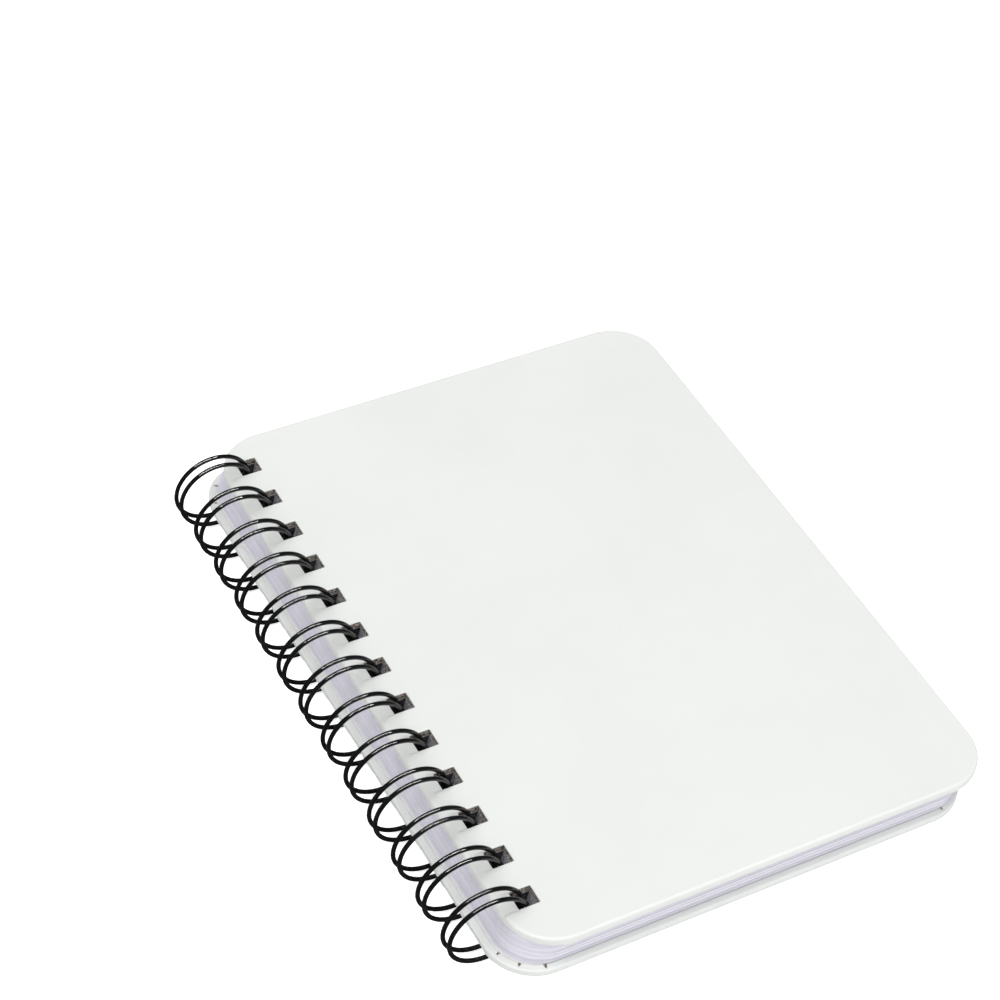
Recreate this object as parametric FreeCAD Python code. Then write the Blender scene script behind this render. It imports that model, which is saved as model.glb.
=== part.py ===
import FreeCAD, Part
import math
import os

# Pocket notebook with a twin-loop wire binding, in millimetres.
# +X runs from the spine to the fore-edge, +Y along the spine, +Z up out of the front cover.
# The origin is under the middle of the notebook, at the height of the lowest point of the wire.

# Binding: the standard 2:1 pitch, two double loops to the inch.
LOOP_PITCH = 25.4 / 2
LOOP_COUNT = 13
LOOP_RADIUS = 10.2
WIRE_DIAMETER = 1.15
TWIN_SPACING = 3.27
BASE_BEND_RADIUS = 1.2
END_STUB = 0.8
TIP_CLEARANCE = 0.4
BASE_ANGLE = -80.0

# Covers: board wrapped in a padded skin, with an endpaper pasted inside.
COVER_WIDTH = 129.2
COVER_LENGTH = 177.6
COVER_CORNER = 13.0
WRAP_THICKNESS = 0.3
PADDING_THICKNESS = 0.5
BOARD_THICKNESS = 1.35
LINER_THICKNESS = 0.15
LINER_INSET = 2.0
OUTER_EDGE_ROUND = 0.75
STRIP_DEPTH = 0.2
STRIP_BEYOND_HOLES = 1.6

# Sheets.
SHEET_COUNT = 60
SHEETS_PER_PACK = 5
SHEET_PITCH = 0.092
SHEET_THICKNESS = 0.084
PAGE_WIDTH = 125.5
PAGE_LENGTH = 174.5
PAGE_CORNER = 11.0
COVER_TO_PAGES = 0.1

# Punching: one nearly square hole for each double loop.
HOLE_WIDTH = 5.4
HOLE_LENGTH = 5.15
HOLE_MARGIN = 4.3
HOLE_ROW_SHIFT = 2.0

# The closed stack leans, so each layer sits a little nearer the spine and the near end
# than the one above it, while its holes stay in line with the loops.
FRONT_EDGE_FROM_AXIS = 2.5
COVER_LEAN = 4.7
FIRST_SHEET_FROM_AXIS = 2.7
SHEET_LEAN = 2.4
HOLE_LEAN = 1.1
COVER_SIDE_LEAN = 1.0
SHEET_SIDE_LEAN = 0.7

COVER_THICKNESS = WRAP_THICKNESS + PADDING_THICKNESS + BOARD_THICKNESS + LINER_THICKNESS
HALF_BLOCK = SHEET_COUNT * SHEET_PITCH / 2
LOOP_REACH = LOOP_RADIUS + WIRE_DIAMETER / 2
AXIS_X = (LOOP_REACH - FRONT_EDGE_FROM_AXIS - COVER_WIDTH) / 2
AXIS_Z = LOOP_REACH
FRONT_MIDDLE_Y = COVER_SIDE_LEAN / 2
BACK_MIDDLE_Y = -COVER_SIDE_LEAN / 2

UP = FreeCAD.Vector(0, 0, 1)


def loop_positions():
    """Y of each double loop, which is also the middle of its hole."""
    row_middle = FRONT_MIDDLE_Y + HOLE_ROW_SHIFT
    half_count = (LOOP_COUNT - 1) / 2
    return [row_middle + (half_count - index) * LOOP_PITCH for index in range(LOOP_COUNT)]


def rounded_outline(left, right, half_length, corner):
    """Closed outline of a rectangle with round corners, in the XY plane."""
    corners = [
        (right - corner, half_length - corner, 0),
        (left + corner, half_length - corner, 90),
        (left + corner, corner - half_length, 180),
        (right - corner, corner - half_length, 270),
    ]
    arcs = []
    for x, y, start in corners:
        circle = Part.Circle(FreeCAD.Vector(x, y, 0), UP, corner)
        arcs.append(Part.Arc(circle, math.radians(start), math.radians(start + 90)).toShape())
    edges = []
    for arc, following in zip(arcs, arcs[1:] + arcs[:1]):
        edges.append(arc)
        edges.append(Part.makeLine(arc.Vertexes[-1].Point, following.Vertexes[0].Point))
    return Part.Wire(edges)


def hole_outlines(hole_left, middle_y):
    """Outlines of a layer's row of punched holes, measured from the layer's own middle in Y."""
    outlines = []
    for y in loop_positions():
        low = y - middle_y - HOLE_LENGTH / 2
        points = [
            FreeCAD.Vector(hole_left, low, 0),
            FreeCAD.Vector(hole_left + HOLE_WIDTH, low, 0),
            FreeCAD.Vector(hole_left + HOLE_WIDTH, low + HOLE_LENGTH, 0),
            FreeCAD.Vector(hole_left, low + HOLE_LENGTH, 0),
        ]
        outlines.append(Part.makePolygon(points + points[:1]))
    return outlines


def punched_plate(outline, hole_left, middle_y, bottom, thickness):
    """Flat plate inside an outline with the row of holes punched through it."""
    sheet = Part.Face([outline] + hole_outlines(hole_left, middle_y))
    sheet.translate(UP * bottom)
    return sheet.extrude(UP * thickness)


def plain_plate(outline, bottom, thickness):
    """Flat plate inside an outline, without holes."""
    sheet = Part.Face(outline)
    sheet.translate(UP * bottom)
    return sheet.extrude(UP * thickness)


def hole_punches(hole_left, middle_y):
    """One upright block of air for each hole in a cover."""
    faces = [Part.Face(outline) for outline in hole_outlines(hole_left, middle_y)]
    return [face.extrude(UP * COVER_THICKNESS) for face in faces]


def cover_outline(left, inset):
    """Outline of a cover, drawn in from its edge by the inset."""
    right = left + COVER_WIDTH - inset
    return rounded_outline(left + inset, right, COVER_LENGTH / 2 - inset, COVER_CORNER - inset)


def pressed_strip(left, hole_left, floor):
    """Block of air above the strip along the spine, where the padding is pressed down."""
    width = hole_left + HOLE_WIDTH + STRIP_BEYOND_HOLES - left
    corner = FreeCAD.Vector(left, -COVER_LENGTH / 2, floor)
    return Part.makeBox(width, COVER_LENGTH, COVER_THICKNESS, corner)


def cover_wrap(left, hole_left, middle_y):
    """Skin over the outer face and edges, turned in round the inner face."""
    block = plain_plate(cover_outline(left, 0), 0, COVER_THICKNESS)
    rim = [edge for edge in block.Edges if edge.BoundBox.ZMin > COVER_THICKNESS / 2]
    block = block.makeFillet(OUTER_EDGE_ROUND, rim)
    block = block.cut(pressed_strip(left, hole_left, COVER_THICKNESS - STRIP_DEPTH))
    core = plain_plate(cover_outline(left, WRAP_THICKNESS), LINER_THICKNESS, BOARD_THICKNESS)
    pocket = plain_plate(cover_outline(left, LINER_INSET), 0, LINER_THICKNESS)
    hollows = [core, padding_blank(left, hole_left), pocket]
    return block.cut(hollows + hole_punches(hole_left, middle_y))


def padding_blank(left, hole_left):
    """Padding before punching, rounded like the skin above it and thinner along the spine."""
    bottom = LINER_THICKNESS + BOARD_THICKNESS
    blank = plain_plate(cover_outline(left, WRAP_THICKNESS), bottom, PADDING_THICKNESS)
    top = bottom + PADDING_THICKNESS
    rim = [edge for edge in blank.Edges if edge.BoundBox.ZMin > top - PADDING_THICKNESS / 2]
    blank = blank.makeFillet(OUTER_EDGE_ROUND - WRAP_THICKNESS, rim)
    return blank.cut(pressed_strip(left, hole_left, top - STRIP_DEPTH))


def cover_padding(left, hole_left, middle_y):
    """Thin foam between the board and the skin."""
    return padding_blank(left, hole_left).cut(hole_punches(hole_left, middle_y))


def cover_pieces(left, hole_left, middle_y):
    """The four layers of a cover lying on its inner face, with the inner face at height zero."""
    rim = cover_outline(left, WRAP_THICKNESS)
    border = cover_outline(left, LINER_INSET)
    return {
        "wrap": cover_wrap(left, hole_left, middle_y),
        "padding": cover_padding(left, hole_left, middle_y),
        "board": punched_plate(rim, hole_left, middle_y, LINER_THICKNESS, BOARD_THICKNESS),
        "liner": punched_plate(border, hole_left, middle_y, 0, LINER_THICKNESS),
    }


def front_cover():
    """Layers of the front cover, above the sheets."""
    left = AXIS_X + FRONT_EDGE_FROM_AXIS
    height = AXIS_Z + HALF_BLOCK + COVER_TO_PAGES
    pieces = cover_pieces(left, left + HOLE_MARGIN, FRONT_MIDDLE_Y)
    place = FreeCAD.Vector(0, FRONT_MIDDLE_Y, height)
    return {"front_" + name: piece.translated(place) for name, piece in pieces.items()}


def back_cover():
    """Layers of the back cover, turned over and leaning towards the spine."""
    front_left = AXIS_X + FRONT_EDGE_FROM_AXIS
    height = AXIS_Z - HALF_BLOCK - COVER_TO_PAGES
    hole_left = front_left + HOLE_MARGIN - HOLE_LEAN
    pieces = cover_pieces(front_left - COVER_LEAN, hole_left, BACK_MIDDLE_Y)
    turned = {name: piece.mirror(FreeCAD.Vector(0, 0, 0), UP) for name, piece in pieces.items()}
    place = FreeCAD.Vector(0, BACK_MIDDLE_Y, height)
    return {"back_" + name: piece.translated(place) for name, piece in turned.items()}


def page_sheet(index):
    """One sheet, counted down from the top of the block."""
    depth = index / (SHEET_COUNT - 1)
    left = AXIS_X + FIRST_SHEET_FROM_AXIS - SHEET_LEAN * depth
    hole_left = AXIS_X + FIRST_SHEET_FROM_AXIS + HOLE_MARGIN - HOLE_LEAN * depth
    middle_y = FRONT_MIDDLE_Y - SHEET_SIDE_LEAN * depth
    outline = rounded_outline(left, left + PAGE_WIDTH, PAGE_LENGTH / 2, PAGE_CORNER)
    bottom = AXIS_Z + HALF_BLOCK - (index + 1) * SHEET_PITCH
    sheet = punched_plate(outline, hole_left, middle_y, bottom, SHEET_THICKNESS)
    return sheet.translated(FreeCAD.Vector(0, middle_y, 0))


def page_packs():
    """The sheets in packs that turn together, counted down from the front cover."""
    packs = {}
    for start in range(0, SHEET_COUNT, SHEETS_PER_PACK):
        name = "pages_%02d" % (start // SHEETS_PER_PACK + 1)
        sheets = [page_sheet(index) for index in range(start, start + SHEETS_PER_PACK)]
        packs[name] = Part.makeCompound(sheets)
    return packs


def on_loop(angle, y, along=0.0):
    """Point on the loops at an angle from +X, moved clockwise along the tangent there."""
    turn = math.radians(angle)
    x = LOOP_RADIUS * math.cos(turn) + along * math.sin(turn)
    z = LOOP_RADIUS * math.sin(turn) - along * math.cos(turn)
    return FreeCAD.Vector(AXIS_X + x, y, AXIS_Z + z)


def arc_through(points):
    """Circular edge through three points."""
    return Part.Arc(*points).toShape()


def tip_angle():
    """Angle at which the loops end, just before their tips would meet the base."""
    tip_reach = TWIN_SPACING / 2 + WIRE_DIAMETER / 2
    base_reach = BASE_BEND_RADIUS + WIRE_DIAMETER / 2
    gap = math.degrees((tip_reach + base_reach + TIP_CLEARANCE) / LOOP_RADIUS)
    return BASE_ANGLE - 360 + gap


def base_bend(y, side):
    """Quarter bend between the straight base and one wire of a loop, base end first."""
    centre = y + side * BASE_BEND_RADIUS
    eighth = BASE_BEND_RADIUS * math.sqrt(0.5)
    return [
        on_loop(BASE_ANGLE, centre, -BASE_BEND_RADIUS),
        on_loop(BASE_ANGLE, centre - side * eighth, -eighth),
        on_loop(BASE_ANGLE, y),
    ]


def half_loop(y, side, base_end):
    """Edges of one wire of a double loop, from the end of its base to the start of its tip."""
    wire_y = y + side * TWIN_SPACING / 2
    bend = base_bend(wire_y, side)
    base_start = on_loop(BASE_ANGLE, base_end, -BASE_BEND_RADIUS)
    half_way = (BASE_ANGLE + tip_angle()) / 2
    ring = [on_loop(angle, wire_y) for angle in (BASE_ANGLE, half_way, tip_angle())]
    return [Part.makeLine(base_start, bend[0]), arc_through(bend), arc_through(ring)]


def double_loop(y, low_end, high_end):
    """One double loop: along the base, round to the tip, back round and along the base."""
    going = half_loop(y, -1, low_end)
    returning = half_loop(y, 1, high_end)
    tip = arc_through([
        on_loop(tip_angle(), y - TWIN_SPACING / 2),
        on_loop(tip_angle(), y, TWIN_SPACING / 2),
        on_loop(tip_angle(), y + TWIN_SPACING / 2),
    ])
    path = Part.Wire(Part.sortEdges(going + [tip] + returning)[0])
    start = on_loop(BASE_ANGLE, low_end, -BASE_BEND_RADIUS)
    section = Part.Wire(Part.makeCircle(WIRE_DIAMETER / 2, start, FreeCAD.Vector(0, 1, 0)))
    return path.makePipeShell([section], True, False)


def wire_binding():
    """All the double loops, each joined to the next half-way along the base between them."""
    stub = TWIN_SPACING / 2 + BASE_BEND_RADIUS + END_STUB
    loops = []
    for index, y in enumerate(loop_positions()):
        above = stub if index == 0 else LOOP_PITCH / 2
        below = stub if index == LOOP_COUNT - 1 else LOOP_PITCH / 2
        loops.append(double_loop(y, y - below, y + above))
    return Part.makeCompound(loops)


os.makedirs("parts", exist_ok=True)
nodes = {**front_cover(), **page_packs(), **back_cover(), "wire_binding": wire_binding()}
for node, shape in nodes.items():
    shape.exportStep("parts/" + node + ".step")
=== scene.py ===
import math
import random

import bmesh
import bpy
import numpy as np
from mathutils import Matrix, Vector
from mathutils.geometry import delaunay_2d_cdt


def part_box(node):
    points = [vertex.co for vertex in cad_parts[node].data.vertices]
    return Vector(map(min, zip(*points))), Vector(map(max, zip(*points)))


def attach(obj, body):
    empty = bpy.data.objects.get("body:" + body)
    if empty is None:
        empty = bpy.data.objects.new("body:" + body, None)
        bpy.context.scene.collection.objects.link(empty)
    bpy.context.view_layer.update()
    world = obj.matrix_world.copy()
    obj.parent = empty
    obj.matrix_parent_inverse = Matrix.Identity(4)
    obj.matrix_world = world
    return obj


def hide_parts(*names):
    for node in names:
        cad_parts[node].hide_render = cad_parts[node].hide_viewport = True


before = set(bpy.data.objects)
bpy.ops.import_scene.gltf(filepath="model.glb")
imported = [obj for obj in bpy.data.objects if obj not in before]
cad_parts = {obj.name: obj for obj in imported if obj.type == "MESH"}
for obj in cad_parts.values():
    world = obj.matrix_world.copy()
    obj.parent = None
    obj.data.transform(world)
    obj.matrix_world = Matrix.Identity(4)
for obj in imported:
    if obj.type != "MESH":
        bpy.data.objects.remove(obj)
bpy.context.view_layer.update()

# Sizes repeated from the CAD part, in millimetres. Places come from the frame.
MM = 0.001
LOOP_PITCH = 25.4 / 2
LOOP_COUNT = 13
HOLE_WIDTH = 5.4
HOLE_LENGTH = 5.15
HOLE_MARGIN = 4.3
COVER_CORNER = 13.0
COVER_THICKNESS = 2.3
LINER_THICKNESS = 0.15
LINER_INSET = 2.0
BOARD_TOP = 1.5
COVER_LEAN = 4.7
HOLE_LEAN = 1.1
LOOP_RADIUS = 10.2
WIRE_RADIUS = 0.575
TWIN_SPACING = 3.27
BASE_BEND_RADIUS = 1.2
BASE_ANGLE = -80.0
TIP_CLEARANCE = 0.4
END_STUB = 0.8
SHEET_PITCH = 0.092
RULING = 7.37
RULE_WIDTH = 0.28

# The band of the sheets whose cut edges are the walls of punched holes: how far from the spine edge
# it starts, and how far past the holes it ends on the page side and at both ends of the row.
PUNCHED_FROM = 3.2
PUNCHED_BEYOND = 3.6
PUNCHED_PAST_ROW = 0.5

chance = random.Random(7)


# ---------------------------------------------------------------- meshes

MERGE_GAP = 0.002


class Shell:
    """Vertices, faces and their materials, gathered before one mesh is made of them."""

    def __init__(self):
        self.points = []
        self.faces = []
        self.materials = []

    def add_points(self, points):
        start = len(self.points)
        self.points.extend(points)
        return list(range(start, len(self.points)))

    def add_face(self, face, material=0):
        self.faces.append(face)
        self.materials.append(material)

    def loft(self, rings, materials):
        """Bands of quads between closed rings that have the same number of points."""
        rows = [self.add_points(ring) for ring in rings]
        for row, following, material in zip(rows, rows[1:], materials):
            for index in range(len(row)):
                after = (index + 1) % len(row)
                face = [row[index], row[after], following[after], following[index]]
                self.add_face(face, material)

    def to_object(self, name, materials):
        """One smooth object in metres, with coincident points merged."""
        mesh = bpy.data.meshes.new(name)
        mesh.from_pydata([Vector(point) * MM for point in self.points], [], self.faces)
        mesh.polygons.foreach_set("material_index", self.materials)
        for material in materials:
            mesh.materials.append(material)
        work = bmesh.new()
        work.from_mesh(mesh)
        bmesh.ops.remove_doubles(work, verts=work.verts, dist=MERGE_GAP * MM)
        bmesh.ops.recalc_face_normals(work, faces=work.faces)
        work.to_mesh(mesh)
        work.free()
        mesh.shade_smooth()
        piece = bpy.data.objects.new(name, mesh)
        bpy.context.scene.collection.objects.link(piece)
        return piece


def smooth_step(value):
    """0 below 0, 1 above 1, and a smooth rise between them."""
    value = min(max(value, 0.0), 1.0)
    return value * value * (3 - 2 * value)


def hole_positions():
    """Y of each punched hole and its double loop, from the far end."""
    low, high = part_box("wire_binding")
    row_middle = (low.y + high.y) / 2 / MM
    half_count = (LOOP_COUNT - 1) / 2
    return [row_middle + (half_count - index) * LOOP_PITCH for index in range(LOOP_COUNT)]


# ---------------------------------------------------------------- covers

# Material slots of a cover's skin.
SKIN_SLOT = 0
BOARD_SLOT = 1

# The outline: its rounded edges, and insets of the rings that lead from the flat cap to the rounding.
EDGE_ROUND = 0.75
EDGE_STEPS = 6
CAP_INSET = 2.0
CAP_RING_INSETS = (CAP_INSET, 1.7, 1.4, 1.15, 0.95)
STATION_STEP = 1.5
CORNER_STATIONS = 72

# The side: height of each ring and how much of a press still shows there, then the inner rounding
# and the border turned in over the board.
SIDE_RINGS = ((1.15, 0.4), (0.75, 0.15))
INNER_ROUND = 0.3
INNER_STEPS = 4
TURN_IN_INSETS = (0.6, 0.9, 1.3, 1.6, LINER_INSET - 0.1)

# The presses: padding pushed down by the punch between each hole and the spine edge, by a depth that
# varies a little, with a steep wall at both ends, fading towards the hole and over the edge.
PRESS_DEPTH = 0.62
PRESS_WALL = 0.45
PRESS_FADE = 0.7
PRESS_LOSS_OVER_EDGE = 0.35
PRESS_SHARES = (0.85, 1.1)
TAB_ROUND = 1.5

# The holes: rings over the lip, each with its distance outside the hole and its drop below the top.
HOLE_CORNER = 0.3
HOLE_CORNER_STEPS = 4
HOLE_RING_STEP = 0.5
LIP_RINGS = ((0.5, 0.0), (0.3, 0.01), (0.15, 0.04), (0.05, 0.1), (0.0, 0.18), (0.0, 0.3))
LIP_REACH = LIP_RINGS[0][0]

# The folds of the turned-in border: where each lies in its share of the corner, how deep it is in
# liner thicknesses, and how much of it shows at each ring inwards.
PLEATS_PER_CORNER = 3
PLEAT_WIDTH = 2.2
PLEAT_PLACES = (0.15, 0.85)
PLEAT_DEPTHS = (0.8, 1.6)
PLEAT_SHARES = (0.4, 0.8, 1.1, 1.5, 2.0)

# The cap's points: fine over the strip with the holes, coarse over the panel, and clear of every border
# by a share of their step.
CAP_STEP = 0.3
PANEL_STEP = 6.0
STRIP_PAST_HOLES = 1.5
STRIP_TO_PANEL = 2.0
BORDER_SHARE = 0.4
CAP_TOLERANCE = 1e-5


class Cover:
    """One padded cover: x from its spine edge, y from its middle, height from its inner face."""

    def __init__(self, node, hole_margin, faces_up):
        low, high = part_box(node)
        self.left = low.x / MM
        self.width = (high.x - low.x) / MM
        self.half_length = (high.y - low.y) / MM / 2
        self.middle_y = (high.y + low.y) / MM / 2
        self.holes = [y - self.middle_y for y in hole_positions()]
        self.inner_face = (low.z if faces_up else high.z) / MM
        self.up = 1 if faces_up else -1
        self.hole_margin = hole_margin
        self.presses = [chance.uniform(*PRESS_SHARES) for _ in range(LOOP_COUNT)]
        self.pleats = [self.corner_pleats() for _ in range(4)]

    def corner_pleats(self):
        """Angles and depths of the folds at one corner."""
        share = 90 / PLEATS_PER_CORNER
        angles = [
            (index + chance.uniform(*PLEAT_PLACES)) * share
            for index in range(PLEATS_PER_CORNER)
        ]
        return [(angle, LINER_THICKNESS * chance.uniform(*PLEAT_DEPTHS)) for angle in angles]

    def place(self, x, y, height):
        """A point of the cover in the shared frame, in millimetres."""
        return (self.left + x, self.middle_y + y, self.inner_face + self.up * height)

    def stations(self):
        """Points round the outline with their outward directions and pleat depths."""
        corner = COVER_CORNER
        centres = [
            (self.width - corner, self.half_length - corner),
            (corner, self.half_length - corner),
            (corner, corner - self.half_length),
            (self.width - corner, corner - self.half_length),
        ]
        found = []
        for quarter, (x, y) in enumerate(centres):
            for index in range(CORNER_STATIONS + 1):
                part = 90 * index / CORNER_STATIONS
                turn = math.radians(90 * quarter + part)
                out = (math.cos(turn), math.sin(turn))
                pleat = max(
                    depth * math.exp(-((part - angle) / PLEAT_WIDTH) ** 2)
                    for angle, depth in self.pleats[quarter]
                )
                found.append((x + corner * out[0], y + corner * out[1], out, pleat))
            next_centre = centres[(quarter + 1) % len(centres)]
            found.extend(self.straight_stations(found[-1], next_centre))
        return found

    def straight_stations(self, last, next_centre):
        """Points along the straight edge after a corner."""
        x0, y0, out, _ = last
        x1 = next_centre[0] + COVER_CORNER * out[0]
        y1 = next_centre[1] + COVER_CORNER * out[1]
        count = int(math.dist((x0, y0), (x1, y1)) / STATION_STEP)
        return [
            (x0 + (x1 - x0) * index / count, y0 + (y1 - y0) * index / count, out, 0.0)
            for index in range(1, count)
        ]

    def relief(self, x, y):
        """How far the punch has pressed the padding down between a hole and the spine edge."""
        reach = smooth_step((self.hole_margin + PRESS_FADE / 2 - x) / PRESS_FADE)
        if reach == 0:
            return 0.0
        corner = min(max((TAB_ROUND - x) / TAB_ROUND, 0.0), 1.0)
        half = HOLE_LENGTH / 2 + TAB_ROUND * (1 - math.sqrt(1 - corner * corner))
        pressed = 0.0
        for hole_y, share in zip(self.holes, self.presses):
            beyond = abs(y - hole_y) - half + PRESS_WALL / 2
            pressed += share * (1 - smooth_step(beyond / PRESS_WALL))
        return -PRESS_DEPTH * reach * pressed

    def top(self, x, y):
        """Height of the top surface."""
        return COVER_THICKNESS + self.relief(x, y)

    def edge_ring(self, stations, inset, height, pressed, pleated=0.0):
        """The outline drawn in by an inset, at a height that gives way under the presses."""
        ring = []
        for x, y, out, pleat in stations:
            px = x - inset * out[0]
            py = y - inset * out[1]
            give = self.relief(max(px, 0.0), py) * pressed
            ring.append(self.place(px, py, height + give + pleat * pleated))
        return ring

    def edge_rings(self, stations):
        """Rings from the cap, over the rounded edge, down the side and in under the cover."""
        rings = []
        for inset in CAP_RING_INSETS:
            rings.append(self.edge_ring(stations, inset, COVER_THICKNESS, 1.0))
        for step in range(EDGE_STEPS + 1):
            turn = math.radians(90 - 90 * step / EDGE_STEPS)
            inset = EDGE_ROUND * (1 - math.cos(turn))
            height = COVER_THICKNESS - EDGE_ROUND * (1 - math.sin(turn))
            pressed = 1 - PRESS_LOSS_OVER_EDGE * step / EDGE_STEPS
            rings.append(self.edge_ring(stations, inset, height, pressed))
        for height, pressed in SIDE_RINGS:
            rings.append(self.edge_ring(stations, 0.0, height, pressed))
        for step in range(INNER_STEPS + 1):
            turn = math.radians(90 * step / INNER_STEPS)
            inset = INNER_ROUND * (1 - math.cos(turn))
            height = INNER_ROUND * (1 - math.sin(turn))
            pleated = PLEAT_SHARES[0] * step / INNER_STEPS
            rings.append(self.edge_ring(stations, inset, height, 0.0, pleated))
        for inset, share in zip(TURN_IN_INSETS, PLEAT_SHARES):
            rings.append(self.edge_ring(stations, inset, 0.0, 0.0, share))
        rings.append(self.edge_ring(stations, LINER_INSET, LINER_THICKNESS, 0.0))
        return rings

    def hole_ring(self, hole_y, outset, drop):
        """One rounded square round a hole, a drop below the top surface there."""
        ring = []
        half_x = HOLE_WIDTH / 2 - HOLE_CORNER
        half_y = HOLE_LENGTH / 2 - HOLE_CORNER
        middle = self.hole_margin + HOLE_WIDTH / 2
        radius = HOLE_CORNER + outset
        for quarter, (sx, sy) in enumerate(((1, 1), (-1, 1), (-1, -1), (1, -1))):
            for step in range(HOLE_CORNER_STEPS + 1):
                turn = math.radians(90 * quarter + 90 * step / HOLE_CORNER_STEPS)
                x = sx * half_x + radius * math.cos(turn)
                y = sy * half_y + radius * math.sin(turn)
                ring.append((x, y))
        closed = []
        for (x0, y0), (x1, y1) in zip(ring, ring[1:] + ring[:1]):
            count = max(1, round(math.dist((x0, y0), (x1, y1)) / HOLE_RING_STEP))
            for index in range(count):
                part = index / count
                closed.append((middle + x0 + (x1 - x0) * part, hole_y + y0 + (y1 - y0) * part))
        return [(x, y, self.top(x, y) - drop) for x, y in closed]

    def hole_rings(self, hole_y):
        """Rings from the cap over the lip of a hole and down its wall."""
        rings = []
        for outset, drop in LIP_RINGS:
            rings.append([self.place(*point) for point in self.hole_ring(hole_y, outset, drop)])
        rings.append([self.place(x, y, BOARD_TOP) for x, y, _ in self.hole_ring(hole_y, 0.0, 0.0)])
        return rings

    def inside_cap(self, x, y):
        """Whether a point of the top lies within the cap and outside every hole's lip."""
        corner_x = max(abs(x - self.width / 2) - self.width / 2 + COVER_CORNER, 0.0)
        corner_y = max(abs(y) - self.half_length + COVER_CORNER, 0.0)
        if math.hypot(corner_x, corner_y) > COVER_CORNER - CAP_INSET:
            return False
        dx = abs(x - self.hole_margin - HOLE_WIDTH / 2) - HOLE_WIDTH / 2 + HOLE_CORNER
        for hole_y in self.holes:
            dy = abs(y - hole_y) - HOLE_LENGTH / 2 + HOLE_CORNER
            if math.hypot(max(dx, 0.0), max(dy, 0.0)) < HOLE_CORNER + LIP_REACH:
                return False
        return True

    def cap_points(self):
        """Fine points over the strip with the holes, and coarse ones over the panel."""
        strip_end = self.hole_margin + HOLE_WIDTH + STRIP_PAST_HOLES
        strip = (CAP_STEP, 0.0, strip_end)
        panel = (PANEL_STEP, strip_end + STRIP_TO_PANEL, self.width)
        points = []
        for step, start, end in (strip, panel):
            for x in np.arange(start, end, step):
                for y in np.arange(-self.half_length, self.half_length, step):
                    if self.inside_cap(x, y) and self.clear_of_borders(x, y, step * BORDER_SHARE):
                        points.append((x, y))
        return points

    def clear_of_borders(self, x, y, gap):
        """Whether a point keeps a gap from the cap's own borders, so that no sliver forms there."""
        return all(
            self.inside_cap(x + dx, y + dy)
            for dx, dy in ((gap, 0), (-gap, 0), (0, gap), (0, -gap))
        )

    def add_cap(self, shell, stations):
        """The flat top between the edge and the holes, triangulated with both as borders."""
        borders = [[(x - CAP_INSET * out[0], y - CAP_INSET * out[1]) for x, y, out, _ in stations]]
        for hole_y in self.holes:
            borders.append([(x, y) for x, y, _ in self.hole_ring(hole_y, LIP_REACH, 0.0)])
        flat = []
        edges = []
        for border in borders:
            start = len(flat)
            flat.extend(border)
            for index in range(len(border)):
                edges.append((start + index, start + (index + 1) % len(border)))
        flat.extend(self.cap_points())
        flat = [Vector(point) for point in flat]
        verts, _, faces, *_ = delaunay_2d_cdt(flat, edges, [], 0, CAP_TOLERANCE)
        ids = shell.add_points([self.place(v.x, v.y, self.top(v.x, v.y)) for v in verts])
        for face in faces:
            centre = sum((verts[index] for index in face), Vector((0, 0))) / len(face)
            if self.inside_cap(centre.x, centre.y):
                shell.add_face([ids[index] for index in face])

    def build(self, name, materials):
        """The whole skin: top, rounded edge, side, turned-in border and the holes' upper walls."""
        shell = Shell()
        stations = self.stations()
        self.add_cap(shell, stations)
        rings = self.edge_rings(stations)
        shell.loft(rings, [SKIN_SLOT] * len(rings))
        wall = [SKIN_SLOT] * (len(LIP_RINGS) - 1) + [BOARD_SLOT]
        for hole_y in self.holes:
            shell.loft(self.hole_rings(hole_y), wall)
        return shell.to_object(name, materials)


# ---------------------------------------------------------------- wire

# Straight pieces in each bend at a base, in each side of a loop, and in the bend at its tip.
BASE_STEPS = 8
LOOP_STEPS = 96
TIP_STEPS = 16


def loop_axis():
    """X and height of the line that the loops are centred on."""
    low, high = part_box("wire_binding")
    return low.x / MM + WIRE_RADIUS + LOOP_RADIUS, (low.z + high.z) / 2 / MM


def on_loop(axis, angle, y, along=0.0):
    """Point on the loops at an angle from +X, moved clockwise along the tangent there."""
    turn = math.radians(angle)
    x = LOOP_RADIUS * math.cos(turn) + along * math.sin(turn)
    z = LOOP_RADIUS * math.sin(turn) - along * math.cos(turn)
    return (axis[0] + x, y, axis[1] + z)


def loop_path(axis, y):
    """Centre line of one double loop from its lower base to its upper base."""
    tip_reach = TWIN_SPACING / 2 + WIRE_RADIUS
    gap = math.degrees((tip_reach + BASE_BEND_RADIUS + WIRE_RADIUS + TIP_CLEARANCE) / LOOP_RADIUS)
    tip_angle = BASE_ANGLE - 360 + gap
    half = TWIN_SPACING / 2
    going = []
    for step in range(BASE_STEPS + 1):
        turn = math.radians(180 - 90 * step / BASE_STEPS)
        bend_y = y - half - BASE_BEND_RADIUS * (1 - math.sin(turn))
        going.append(on_loop(axis, BASE_ANGLE, bend_y, BASE_BEND_RADIUS * math.cos(turn)))
    for step in range(1, LOOP_STEPS + 1):
        angle = BASE_ANGLE + (tip_angle - BASE_ANGLE) * step / LOOP_STEPS
        going.append(on_loop(axis, angle, y - half))
    tip = []
    for step in range(1, TIP_STEPS):
        turn = math.pi * step / TIP_STEPS
        tip.append(on_loop(axis, tip_angle, y - half * math.cos(turn), half * math.sin(turn)))
    returning = [(x, 2 * y - point_y, z) for x, point_y, z in reversed(going)]
    return going + tip + returning


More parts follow.
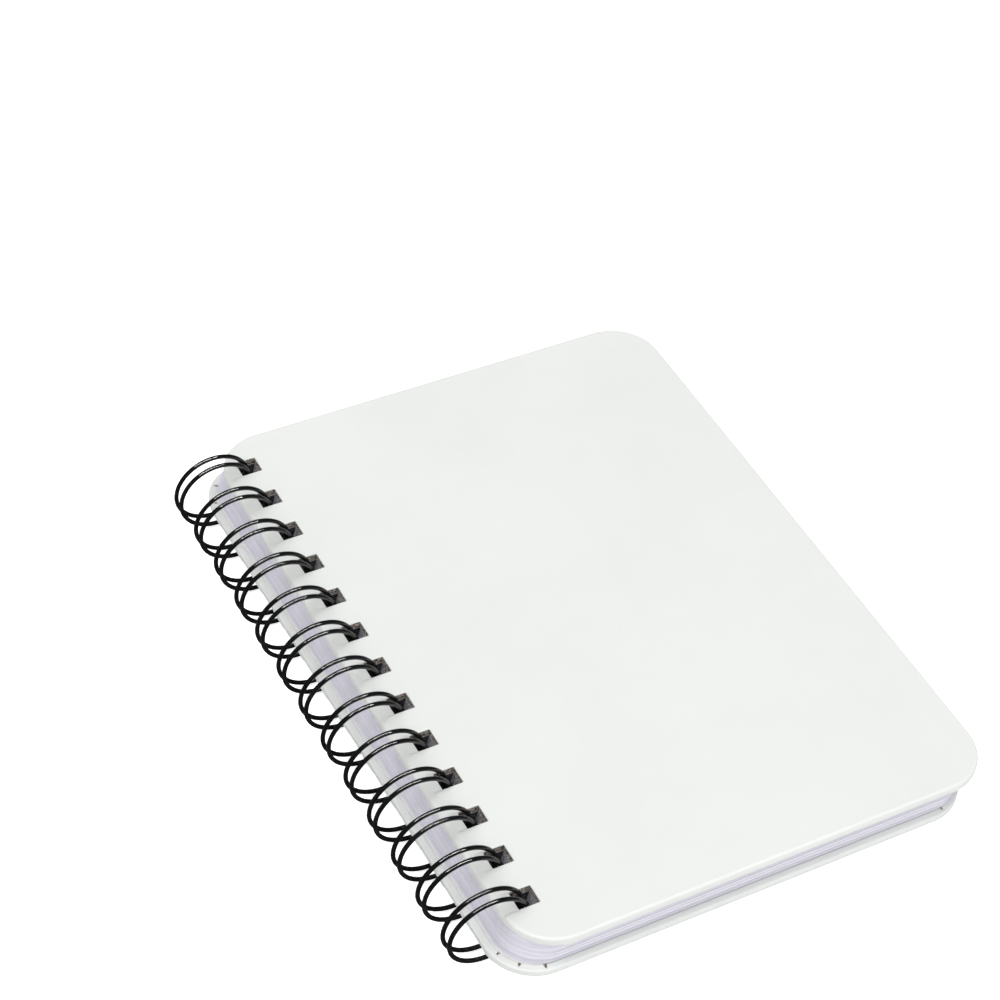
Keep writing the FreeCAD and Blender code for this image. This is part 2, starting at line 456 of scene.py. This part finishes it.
def make_wire(material):
    """The bent wire as one smooth tube."""
    axis = loop_axis()
    path = []
    positions = list(reversed(hole_positions()))
    stub = TWIN_SPACING / 2 + BASE_BEND_RADIUS + END_STUB
    path.append(on_loop(axis, BASE_ANGLE, positions[0] - stub, -BASE_BEND_RADIUS))
    for y in positions:
        path.extend(loop_path(axis, y))
    path.append(on_loop(axis, BASE_ANGLE, positions[-1] + stub, -BASE_BEND_RADIUS))
    curve = bpy.data.curves.new("wire", "CURVE")
    curve.dimensions = "3D"
    curve.bevel_depth = WIRE_RADIUS * MM
    curve.bevel_resolution = 5
    curve.use_fill_caps = True
    spline = curve.splines.new("POLY")
    spline.points.add(len(path) - 1)
    for point, place in zip(spline.points, path):
        point.co = (place[0] * MM, place[1] * MM, place[2] * MM, 1)
    tube = bpy.data.objects.new("wire_curve", curve)
    mesh = bpy.data.meshes.new_from_object(tube)
    bpy.data.objects.remove(tube)
    mesh.shade_smooth()
    mesh.materials.clear()
    mesh.materials.append(material)
    piece = bpy.data.objects.new("wire", mesh)
    bpy.context.scene.collection.objects.link(piece)
    return piece


# ---------------------------------------------------------------- sheets

# Typical shift of one sheet's outline across and along the page, and the part of a sheet by which a
# height is raised so that a sheet's lowest points count with it.
SHIFT_ACROSS = 0.09
SHIFT_ALONG = 0.06
SHEET_ROUNDING = 0.02


def punched_row():
    """Middle and half length in Y of the band that holds all the punched holes of the sheets."""
    positions = hole_positions()
    half = (positions[0] - positions[-1] + HOLE_LENGTH) / 2 + PUNCHED_PAST_ROW
    return (positions[0] + positions[-1]) / 2, half


def make_sheets(node, material):
    """A pack of sheets whose cut edges don't quite line up, though their holes do."""
    piece = bpy.data.objects.new(node + "_paper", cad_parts[node].data.copy())
    bpy.context.scene.collection.objects.link(piece)
    low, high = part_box(node)
    count = round((high.z - low.z) / MM / SHEET_PITCH)
    spreads = (SHIFT_ACROSS, SHIFT_ALONG)
    shifts = [[chance.gauss(0, spread) for spread in spreads] for _ in range(count)]
    shifts = np.array(shifts) * MM
    points = np.empty(len(piece.data.vertices) * 3)
    piece.data.vertices.foreach_get("co", points)
    points = points.reshape(-1, 3)
    level = (points[:, 2] - low.z) / MM / SHEET_PITCH + SHEET_ROUNDING
    sheet = np.clip(level.astype(int), 0, count - 1)
    row_middle, row_half = punched_row()
    from_edge = (points[:, 0] - low.x) / MM
    outside_row = np.abs(points[:, 1] / MM - row_middle) > row_half
    far_in = from_edge > HOLE_MARGIN + HOLE_WIDTH + PUNCHED_BEYOND
    outline = outside_row | far_in | (from_edge < PUNCHED_FROM)
    points[outline, :2] += shifts[sheet[outline]]
    piece.data.vertices.foreach_set("co", points.ravel())
    piece.data.materials.clear()
    piece.data.materials.append(material)
    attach(piece, node)
    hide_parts(node)
    return piece


# ---------------------------------------------------------------- materials

class Nodes:
    """A new material's node tree, with short ways to add the usual nodes."""

    def __init__(self, name):
        self.material = bpy.data.materials.new(name)
        self.material.use_nodes = True
        self.tree = self.material.node_tree
        self.surface = self.tree.nodes["Principled BSDF"]
        self.coordinates = self.add("ShaderNodeTexCoord").outputs["Object"]

    def add(self, kind, **settings):
        node = self.tree.nodes.new(kind)
        for key, value in settings.items():
            setattr(node, key, value)
        return node

    def link(self, source, target):
        self.tree.links.new(source, target)

    def put(self, socket, value):
        if isinstance(value, (int, float, tuple)):
            socket.default_value = value
        else:
            self.link(value, socket)

    def math(self, operation, first, second=0.0):
        node = self.add("ShaderNodeMath", operation=operation)
        self.put(node.inputs[0], first)
        self.put(node.inputs[1], second)
        return node.outputs[0]

    def every(self, *conditions):
        """1 where every condition is 1, and 0 elsewhere."""
        result = conditions[0]
        for condition in conditions[1:]:
            result = self.math("MULTIPLY", result, condition)
        return result

    def noise(self, size, detail=3.0, stretch=(1.0, 1.0, 1.0)):
        """Noise whose grains are about the given size in millimetres."""
        mapping = self.add("ShaderNodeMapping")
        mapping.inputs["Scale"].default_value = stretch
        self.link(self.coordinates, mapping.inputs["Vector"])
        node = self.add("ShaderNodeTexNoise")
        node.inputs["Scale"].default_value = 1 / (size * MM)
        node.inputs["Detail"].default_value = detail
        self.link(mapping.outputs[0], node.inputs["Vector"])
        return node.outputs["Fac"]

    def ramp(self, factor, low, high, dark, light):
        """Two colours blended as the factor goes from low to high."""
        node = self.add("ShaderNodeValToRGB")
        first, last = node.color_ramp.elements
        first.position, last.position = low, high
        first.color, last.color = (*dark, 1), (*light, 1)
        self.link(factor, node.inputs["Fac"])
        return node.outputs["Color"]

    def mix(self, factor, first, second):
        node = self.add("ShaderNodeMix", data_type="RGBA")
        self.put(node.inputs["Factor"], factor)
        self.put(node.inputs[6], first)
        self.put(node.inputs[7], second)
        return node.outputs[2]

    def spread(self, factor, low, high):
        """A number from low to high as the factor goes from 0 to 1."""
        node = self.add("ShaderNodeMapRange")
        self.link(factor, node.inputs["Value"])
        node.inputs["To Min"].default_value = low
        node.inputs["To Max"].default_value = high
        return node.outputs["Result"]

    def bump(self, height, depth):
        """Bump of the given depth in millimetres."""
        node = self.add("ShaderNodeBump")
        node.inputs["Distance"].default_value = depth * MM
        node.inputs["Strength"].default_value = 1.0
        self.link(height, node.inputs["Height"])
        self.link(node.outputs[0], self.surface.inputs["Normal"])

    def axis(self, name):
        node = self.add("ShaderNodeSeparateXYZ")
        self.link(self.coordinates, node.inputs[0])
        return node.outputs[name]


# Specks in the leatherette: their spacing in millimetres and their radius as a share of it.
SPECK_SPACING = 9
SPECK_RADIUS = 0.012

# Where the rules of a page start and end: from the middle of the far hole, from the edge of the near
# hole, as a share of the margin beside the holes, and short of the fore-edge.
FIRST_RULE_FROM_HOLE = 2.0
LAST_RULE_FROM_HOLE = 2.9
RULES_START_SHARE = 0.9
RULES_END_GAP = 6

# Upright part of the normal above which a sheet's surface is its face and not its cut edge.
FACE_NORMAL = 0.5


def leatherette():
    """Soft off-white skin: fine even grain, faint clouding and a few tiny specks."""
    nodes = Nodes("leatherette")
    pale = (0.8, 0.815, 0.795)
    clouds = nodes.ramp(nodes.noise(30), low=0.35, high=0.65, dark=(0.775, 0.795, 0.772), light=pale)
    cells = nodes.add("ShaderNodeTexVoronoi")
    cells.inputs["Scale"].default_value = 1 / (SPECK_SPACING * MM)
    nodes.link(nodes.coordinates, cells.inputs["Vector"])
    speck = nodes.math("LESS_THAN", cells.outputs["Distance"], SPECK_RADIUS)
    colour = nodes.mix(speck, clouds, (0.55, 0.56, 0.55, 1))
    nodes.link(colour, nodes.surface.inputs["Base Color"])
    grain = nodes.noise(0.35, detail=4)
    nodes.link(nodes.spread(grain, low=0.42, high=0.62), nodes.surface.inputs["Roughness"])
    nodes.surface.inputs["Specular IOR Level"].default_value = 0.3
    nodes.bump(grain, depth=0.02)
    return nodes.material


def greyboard():
    """Torn edge of dense recycled board: brown-grey layers with pale and dark fibres."""
    nodes = Nodes("greyboard")
    fibres = nodes.noise(0.6, detail=6, stretch=(1.0, 1.0, 1.8))
    base = nodes.ramp(fibres, low=0.42, high=0.58, dark=(0.03, 0.022, 0.017), light=(0.42, 0.36, 0.30))
    flecks = nodes.math("GREATER_THAN", nodes.noise(0.45, detail=2), 0.58)
    colour = nodes.mix(flecks, base, (0.62, 0.58, 0.54, 1))
    nodes.link(colour, nodes.surface.inputs["Base Color"])
    nodes.surface.inputs["Roughness"].default_value = 0.9
    nodes.bump(fibres, depth=0.35)
    return nodes.material


def endpaper():
    """Uncoated white paper pasted inside the covers."""
    nodes = Nodes("endpaper")
    fibres = nodes.noise(1.2, detail=5)
    colour = nodes.ramp(fibres, low=0.3, high=0.7, dark=(0.77, 0.77, 0.78), light=(0.82, 0.82, 0.83))
    nodes.link(colour, nodes.surface.inputs["Base Color"])
    nodes.surface.inputs["Roughness"].default_value = 0.85
    nodes.bump(nodes.noise(0.2, detail=4), depth=0.01)
    return nodes.material


def on_face(nodes):
    """1 on the faces of the sheets and 0 on their cut edges."""
    geometry = nodes.add("ShaderNodeNewGeometry")
    normal = nodes.add("ShaderNodeVectorTransform", convert_from="WORLD", convert_to="OBJECT")
    nodes.link(geometry.outputs["True Normal"], normal.inputs[0])
    split = nodes.add("ShaderNodeSeparateXYZ")
    nodes.link(normal.outputs[0], split.inputs[0])
    return nodes.math("GREATER_THAN", nodes.math("ABSOLUTE", split.outputs["Z"]), FACE_NORMAL)


def on_rule(nodes, x, y):
    """1 on the printed rules of a page and 0 elsewhere."""
    first_rule = (hole_positions()[0] - FIRST_RULE_FROM_HOLE) * MM
    last_rule = (hole_positions()[-1] + LAST_RULE_FROM_HOLE + HOLE_LENGTH / 2) * MM
    page_low, page_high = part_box("pages_06")
    rows = nodes.math("DIVIDE", nodes.math("SUBTRACT", first_rule, y), RULING * MM)
    beside = nodes.math("ABSOLUTE", nodes.math("SUBTRACT", rows, nodes.math("ROUND", rows)))
    return nodes.every(
        nodes.math("LESS_THAN", beside, RULE_WIDTH / RULING / 2),
        nodes.math("GREATER_THAN", x, page_low.x + HOLE_MARGIN * MM * RULES_START_SHARE),
        nodes.math("LESS_THAN", x, page_high.x - RULES_END_GAP * MM),
        nodes.math("GREATER_THAN", y, last_rule - RULING * MM / 2),
        nodes.math("LESS_THAN", y, first_rule + RULING * MM / 2),
    )


def painted_shade_band(nodes, x, y):
    """1 where a cut edge is the wall of a punched hole, which gets painted shade, and 0 elsewhere."""
    page_low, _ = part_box("pages_06")
    row_middle, row_half = punched_row()
    from_middle = nodes.math("ABSOLUTE", nodes.math("SUBTRACT", y, row_middle * MM))
    page_side = page_low.x + (HOLE_MARGIN + HOLE_WIDTH + PUNCHED_BEYOND) * MM
    return nodes.every(
        nodes.math("LESS_THAN", x, page_side),
        nodes.math("GREATER_THAN", x, page_low.x + PUNCHED_FROM * MM),
        nodes.math("LESS_THAN", from_middle, row_half * MM),
    )


def ruled_paper():
    """Pale lavender paper: ruled faces, streaked cut edges, and painted shade on the walls of the
    punched holes.
    """
    nodes = Nodes("ruled_paper")
    x = nodes.axis("X")
    y = nodes.axis("Y")
    streaks = nodes.noise(9.0, detail=5, stretch=(0.03, 0.04, 34.0))
    edge = nodes.ramp(streaks, low=0.42, high=0.58, dark=(0.67, 0.655, 0.725), light=(0.95, 0.94, 0.985))
    # Painted shade: the cut edges that form the walls of the punched holes are coloured nearly black, as
    # if in shadow.
    edge = nodes.mix(painted_shade_band(nodes, x, y), edge, (0.016, 0.013, 0.013, 1))
    fibres = nodes.noise(1.5, detail=5)
    face = nodes.ramp(fibres, low=0.3, high=0.7, dark=(0.72, 0.71, 0.785), light=(0.75, 0.74, 0.81))
    ruled = nodes.mix(on_rule(nodes, x, y), face, (0.2, 0.2, 0.23, 1))
    colour = nodes.mix(on_face(nodes), edge, ruled)
    nodes.link(colour, nodes.surface.inputs["Base Color"])
    nodes.surface.inputs["Roughness"].default_value = 0.8
    nodes.surface.inputs["Specular IOR Level"].default_value = 0.2
    nodes.bump(nodes.noise(0.25, detail=4), depth=0.01)
    return nodes.material


def black_coating():
    """Satin black plastic coating on steel wire."""
    nodes = Nodes("black_coating")
    drift = nodes.noise(2.5, detail=4)
    dark = (0.003, 0.003, 0.0035)
    colour = nodes.ramp(drift, low=0.3, high=0.7, dark=dark, light=(0.008, 0.008, 0.009))
    nodes.link(colour, nodes.surface.inputs["Base Color"])
    nodes.link(nodes.spread(drift, low=0.06, high=0.13), nodes.surface.inputs["Roughness"])
    nodes.surface.inputs["Specular IOR Level"].default_value = 0.5
    nodes.bump(nodes.noise(0.8, detail=3), depth=0.002)
    return nodes.material


def plain(name, colour, roughness):
    """An even matt material, for the floor."""
    material = bpy.data.materials.new(name)
    material.use_nodes = True
    surface = material.node_tree.nodes["Principled BSDF"]
    surface.inputs["Base Color"].default_value = (*colour, 1)
    surface.inputs["Roughness"].default_value = roughness
    return material


# ---------------------------------------------------------------- stage

# Camera: place, aim, lens and sensor in millimetres, roll in degrees, nearest distance in metres.
CAMERA_PLACE = (-263.27, -385.83, 515.39)
CAMERA_AIM = (6.73, 46.53, 9.76)
CAMERA_ROLL = 5.86
CAMERA_LENS = 98.34
CAMERA_SENSOR = 36
CAMERA_CLIP = 0.01

# Floor and lights: places and sizes in metres, powers in watts.
FLOOR_REACH = 3.0
FLOOR_GAP = 0.00005
FLOOR_GLOW = 0.75
KEY_PLACE = (-0.6, 0.35, 1.2)
KEY_SIZE = (0.9, 0.9)
KEY_POWER = 6.1
GLINT_PLACE = (-0.1, -0.35, 1.2)
GLINT_SIZE = (1.6, 0.06)
GLINT_POWER = 60
FILL_PLACE = (0.3, -1.2, 0.55)
FILL_SIZE = (0.6, 0.6)
FILL_POWER = 4.6

# Brightness of the surroundings level with the notebook and overhead, and its share in reflections.
LEVEL_LIGHT = 0.68
OVERHEAD_LIGHT = 0.8
LIGHT_IN_REFLECTIONS = 0.12


def add_camera():
    """The camera, aimed at the notebook from the near spine corner."""
    camera = bpy.data.objects.new("camera", bpy.data.cameras.new("camera"))
    bpy.context.scene.collection.objects.link(camera)
    camera.data.lens = CAMERA_LENS
    camera.data.sensor_width = CAMERA_SENSOR
    camera.data.clip_start = CAMERA_CLIP
    place = Vector(CAMERA_PLACE) * MM
    look = (Vector(CAMERA_AIM) * MM - place).to_track_quat("-Z", "Y").to_matrix().to_4x4()
    roll = Matrix.Rotation(math.radians(CAMERA_ROLL), 4, "Z")
    camera.matrix_world = Matrix.Translation(place) @ look @ roll
    bpy.context.scene.camera = camera


def floor_material():
    """Matt and nearly white, brightened only where the camera sees it directly."""
    material = plain("floor", (0.9, 0.9, 0.9), 0.9)
    tree = material.node_tree
    surface = tree.nodes["Principled BSDF"]
    surface.inputs["Emission Color"].default_value = (1, 1, 1, 1)
    surface.inputs["Specular IOR Level"].default_value = 0.0
    glow = tree.nodes.new("ShaderNodeMath")
    glow.operation = "MULTIPLY"
    glow.inputs[1].default_value = FLOOR_GLOW
    tree.links.new(tree.nodes.new("ShaderNodeLightPath").outputs["Is Camera Ray"], glow.inputs[0])
    tree.links.new(glow.outputs[0], surface.inputs["Emission Strength"])
    return material


def add_floor():
    """Floor just under the loops and the back cover's fore-edge, left out of reflections."""
    loops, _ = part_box("wire_binding")
    _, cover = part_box("back_wrap")
    run = cover.x - loop_axis()[0] * MM
    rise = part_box("back_wrap")[0].z - loops.z
    mesh = bpy.data.meshes.new("floor")
    reach = FLOOR_REACH
    corners = [(-reach, -reach, 0), (reach, -reach, 0), (reach, reach, 0), (-reach, reach, 0)]
    mesh.from_pydata(corners, [], [(0, 1, 2, 3)])
    floor = bpy.data.objects.new("floor", mesh)
    bpy.context.scene.collection.objects.link(floor)
    floor.location = (loop_axis()[0] * MM, 0, loops.z - FLOOR_GAP)
    floor.rotation_euler = (0, -math.atan2(rise, run), 0)
    mesh.materials.append(floor_material())
    floor.visible_glossy = False


def add_softbox(name, place, size, power, diffuse=True, glossy=True):
    """Rectangular light facing the notebook, seen by matt surfaces, by reflections or by both."""
    light = bpy.data.objects.new(name, bpy.data.lights.new(name, "AREA"))
    bpy.context.scene.collection.objects.link(light)
    light.data.shape = "RECTANGLE"
    light.data.size, light.data.size_y = size
    light.data.energy = power
    light.visible_diffuse = diffuse
    light.visible_glossy = glossy
    light.location = place
    light.rotation_euler = (-Vector(place)).to_track_quat("-Z", "Y").to_euler()


def add_world():
    """White surroundings, brightest overhead, dimmed in reflections so that black stays black."""
    world = bpy.data.worlds.new("world")
    bpy.context.scene.world = world
    world.use_nodes = True
    tree = world.node_tree
    background = tree.nodes["Background"]
    background.inputs["Color"].default_value = (1.0, 1.0, 1.0, 1)
    up = tree.nodes.new("ShaderNodeSeparateXYZ")
    tree.links.new(tree.nodes.new("ShaderNodeTexCoord").outputs["Generated"], up.inputs[0])
    height = tree.nodes.new("ShaderNodeMapRange")
    height.inputs["To Min"].default_value = LEVEL_LIGHT
    height.inputs["To Max"].default_value = OVERHEAD_LIGHT
    tree.links.new(up.outputs["Z"], height.inputs["Value"])
    path = tree.nodes.new("ShaderNodeLightPath")
    seen = tree.nodes.new("ShaderNodeMapRange")
    seen.inputs["To Min"].default_value = 1.0
    seen.inputs["To Max"].default_value = LIGHT_IN_REFLECTIONS
    tree.links.new(path.outputs["Is Glossy Ray"], seen.inputs["Value"])
    strength = tree.nodes.new("ShaderNodeMath")
    strength.operation = "MULTIPLY"
    tree.links.new(height.outputs["Result"], strength.inputs[0])
    tree.links.new(seen.outputs["Result"], strength.inputs[1])
    tree.links.new(strength.outputs[0], background.inputs["Strength"])


# ---------------------------------------------------------------- the notebook

def make_cover(body, margin, faces_up, skin, board):
    """One cover's skin, in place of its wrap and padding."""
    side = body.split("_")[0]
    cover = Cover(side + "_wrap", margin, faces_up)
    piece = cover.build(body + "_skin", [skin, board])
    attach(piece, body)
    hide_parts(side + "_wrap", side + "_padding")


def dress(node, material):
    """Gives a CAD node its finished material."""
    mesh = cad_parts[node].data
    mesh.materials.clear()
    mesh.materials.append(material)


bpy.context.scene.view_settings.view_transform = "Standard"
skin = leatherette()
board = greyboard()
paper = ruled_paper()
inner = endpaper()
make_cover("front_cover", HOLE_MARGIN, True, skin, board)
make_cover("back_cover", HOLE_MARGIN + COVER_LEAN - HOLE_LEAN, False, skin, board)
for node in ("front_board", "back_board"):
    dress(node, board)
for node in ("front_liner", "back_liner"):
    dress(node, inner)
for node in sorted(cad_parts):
    if node.startswith("pages"):
        make_sheets(node, paper)
wire = make_wire(black_coating())
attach(wire, "wire")
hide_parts("wire_binding")
add_camera()
add_floor()
add_softbox("key", KEY_PLACE, KEY_SIZE, KEY_POWER, glossy=False)
add_softbox("glint", GLINT_PLACE, GLINT_SIZE, GLINT_POWER, diffuse=False)
add_softbox("fill", FILL_PLACE, FILL_SIZE, FILL_POWER, glossy=False)
add_world()
